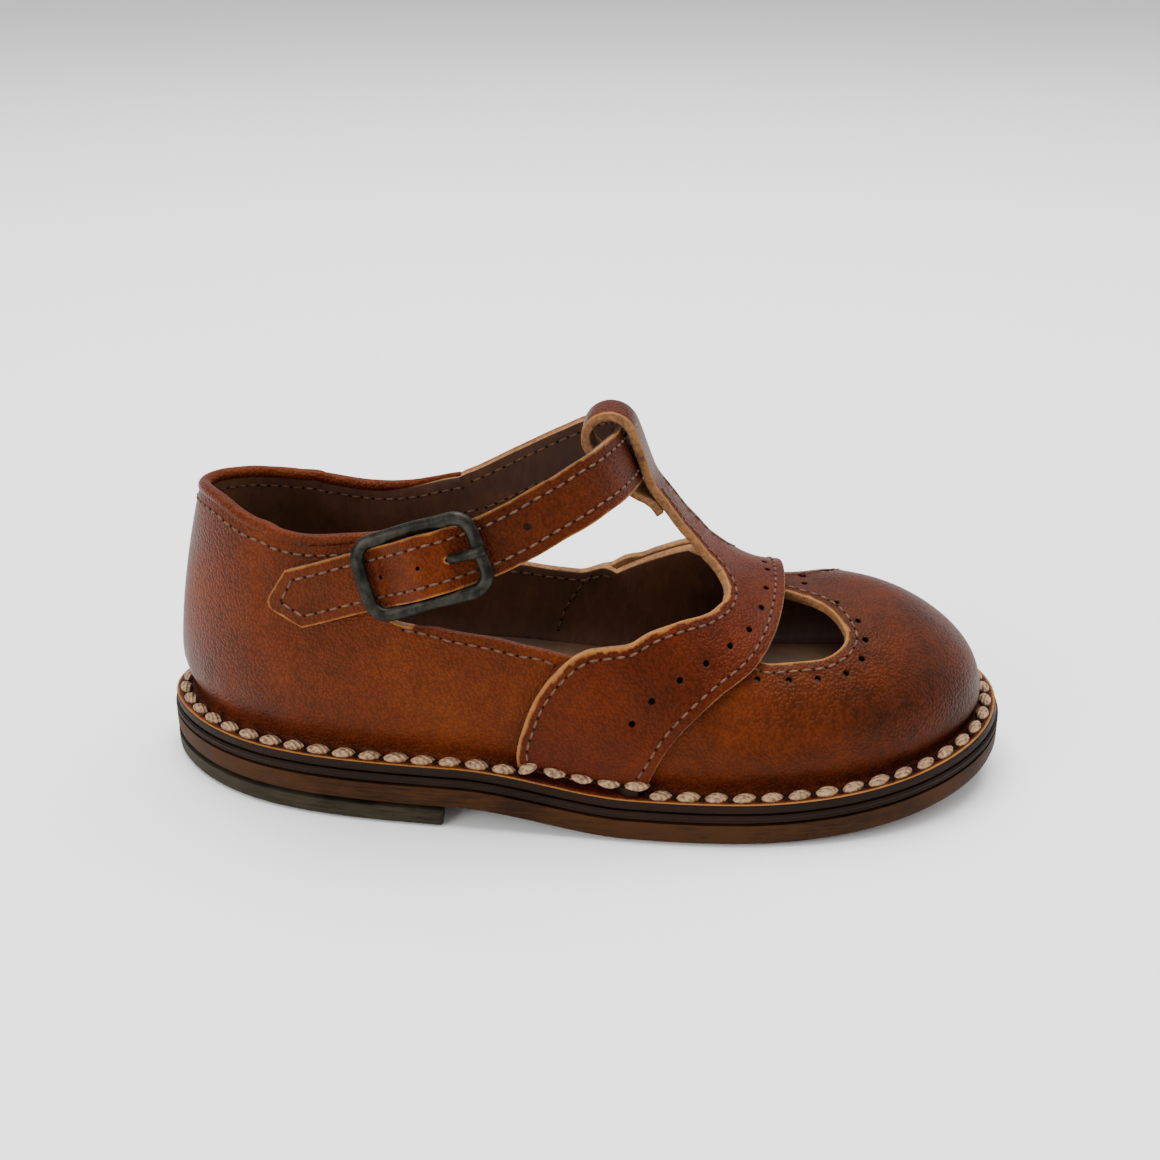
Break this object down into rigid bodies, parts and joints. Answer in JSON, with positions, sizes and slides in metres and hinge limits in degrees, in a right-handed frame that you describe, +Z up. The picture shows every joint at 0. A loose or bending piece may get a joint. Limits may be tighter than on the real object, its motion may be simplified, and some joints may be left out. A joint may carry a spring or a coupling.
{
  "type": "t-bar cut-out shoe",
  "caption": "Child's leather T-bar shoe for the right foot, with cut-outs over the toes, open sides, a buckled ankle strap and a stitched-down leather sole.",
  "frame": {"origin": "on the floor under the middle of the shoe's bounding box", "axes": "+X from heel to toe, +Y to the inner side of the foot, +Z up"},
  "size_m": [0.172, 0.0694, 0.0757],
  "materials": {
    "upper_leather": "waxed, semi-gloss",
    "insole_leather": "matt",
    "midsole_black": "waxed edge",
    "sole_leather": "satin edge",
    "lift_rubber": "matt",
    "buckle_metal": "gunmetal, satin",
    "black_elastic": "woven",
    "rivet_black": "satin"
  },
  "bodies": {
    "root": {"upper": "upper_leather", "instep_saddle": "upper_leather", "insole": "insole_leather", "midsole": "midsole_black", "outsole": "sole_leather", "heel_lift": "lift_rubber", "buckle_frame": "buckle_metal", "buckle_prong": "buckle_metal", "buckle_elastic": "black_elastic", "rivet": "rivet_black"}
  },
  "joints": []
}
